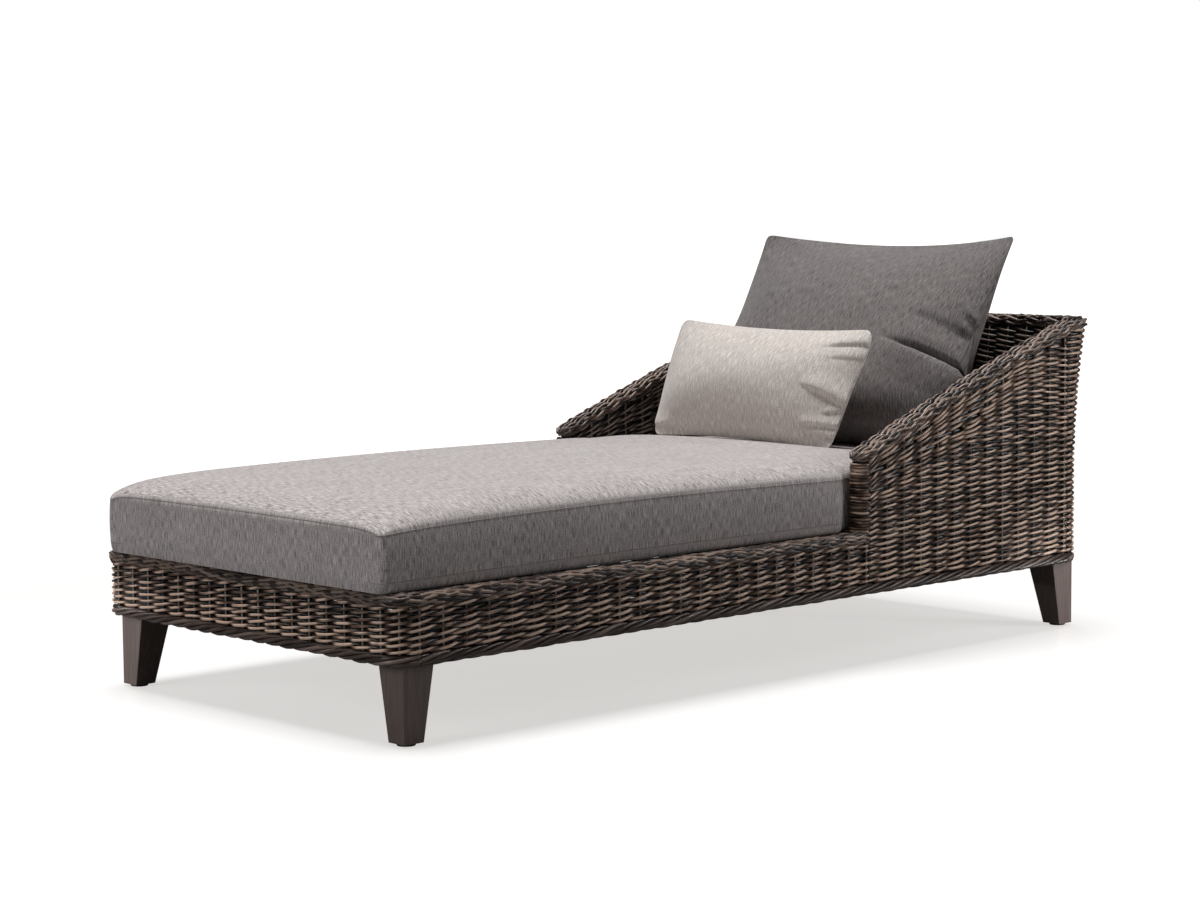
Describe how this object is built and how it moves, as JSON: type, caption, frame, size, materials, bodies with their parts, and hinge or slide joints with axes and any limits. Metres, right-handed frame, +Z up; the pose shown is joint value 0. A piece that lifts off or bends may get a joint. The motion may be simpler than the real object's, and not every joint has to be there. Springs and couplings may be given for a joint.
{
  "type": "rattan sun lounger",
  "caption": "Woven rattan patio lounger with low sloping arms and a flared back, on tapered legs, with a boxed seat cushion and loose pillows",
  "frame": {"origin": "On the floor, under the middle of the lounger's length and width", "axes": "+X runs from the foot end to the back, +Y from the near side in the picture to the far side, +Z up"},
  "size_m": [2.084, 0.98, 0.904],
  "materials": {
    "frame_metal": "dark brown powder coat",
    "leg_wood": "dark brown-grey stain, satin",
    "glide_plastic": "matt",
    "zinc_steel": "bright zinc plate",
    "woven_cane": "satin, mixed dark brown and grey-brown",
    "rim_cane": "satin, mixed dark brown and grey-brown",
    "rope_cane": "satin, mixed dark brown and grey-brown",
    "stake_cane": "satin",
    "webbing": "flat woven strap",
    "seat_fabric": "matt, grey-taupe with a vertical heather",
    "back_fabric": "matt, mid grey",
    "pillow_fabric": "matt, light taupe",
    "cushion_core": "foam or loose polyester fibre"
  },
  "bodies": {
    "frame": {"arm_stakes": "stake_cane", "back_lining": "woven_cane", "back_middle_rail": "frame_metal", "back_rim": "rim_cane", "back_stakes": "stake_cane", "back_top_rail": "frame_metal", "back_weave": "woven_cane", "base_stakes": "stake_cane", "corner_blocks": "frame_metal", "deck_cross_bars": "frame_metal", "deck_webbing": "webbing", "far_arm_end_weave": "woven_cane", "far_arm_lining": "woven_cane", "far_arm_post": "frame_metal", "far_arm_rail": "frame_metal", "far_arm_rim": "rim_cane", "far_arm_weave": "woven_cane", "far_back_post": "frame_metal", "far_base_rim": "rim_cane", "far_base_weave": "woven_cane", "far_border": "rope_cane", "far_deck_rail": "frame_metal", "far_foot_leg": "leg_wood", "far_head_leg": "leg_wood", "far_side_rail": "frame_metal", "foot_border": "rope_cane", "foot_corner_posts": "frame_metal", "foot_deck_rail": "frame_metal", "foot_rail": "frame_metal", "foot_rim": "rim_cane", "foot_weave": "woven_cane", "head_border": "rope_cane", "head_deck_rail": "frame_metal", "head_rail": "frame_metal", "leg_bolts": "zinc_steel", "leg_glides": "glide_plastic", "lower_cross_bars": "frame_metal", "near_arm_end_weave": "woven_cane", "near_arm_lining": "woven_cane", "near_arm_post": "frame_metal", "near_arm_rail": "frame_metal", "near_arm_rim": "rim_cane", "near_arm_weave": "woven_cane", "near_back_post": "frame_metal", "near_base_rim": "rim_cane", "near_base_weave": "woven_cane", "near_border": "rope_cane", "near_deck_rail": "frame_metal", "near_foot_leg": "leg_wood", "near_head_leg": "leg_wood", "near_side_rail": "frame_metal", "side_posts": "frame_metal"},
    "seat_cushion": {"seat_cushion_cover": "seat_fabric", "seat_cushion_foam": "cushion_core"},
    "back_cushion": {"back_cushion_cover": "back_fabric", "back_cushion_filling": "cushion_core"},
    "lumbar_pillow": {"lumbar_pillow_cover": "pillow_fabric", "lumbar_pillow_filling": "cushion_core"}
  },
  "joints": [
    {"name": "seat_cushion_lift", "type": "slide", "parent": "frame", "child": "seat_cushion", "axis": [0, 0, 1], "range_m": [0, 0.25]},
    {"name": "back_cushion_lift", "type": "slide", "parent": "seat_cushion", "child": "back_cushion", "axis": [0, 0, 1], "range_m": [0, 0.3]},
    {"name": "lumbar_pillow_lift", "type": "slide", "parent": "back_cushion", "child": "lumbar_pillow", "axis": [0, 0, 1], "range_m": [0, 0.3]}
  ]
}
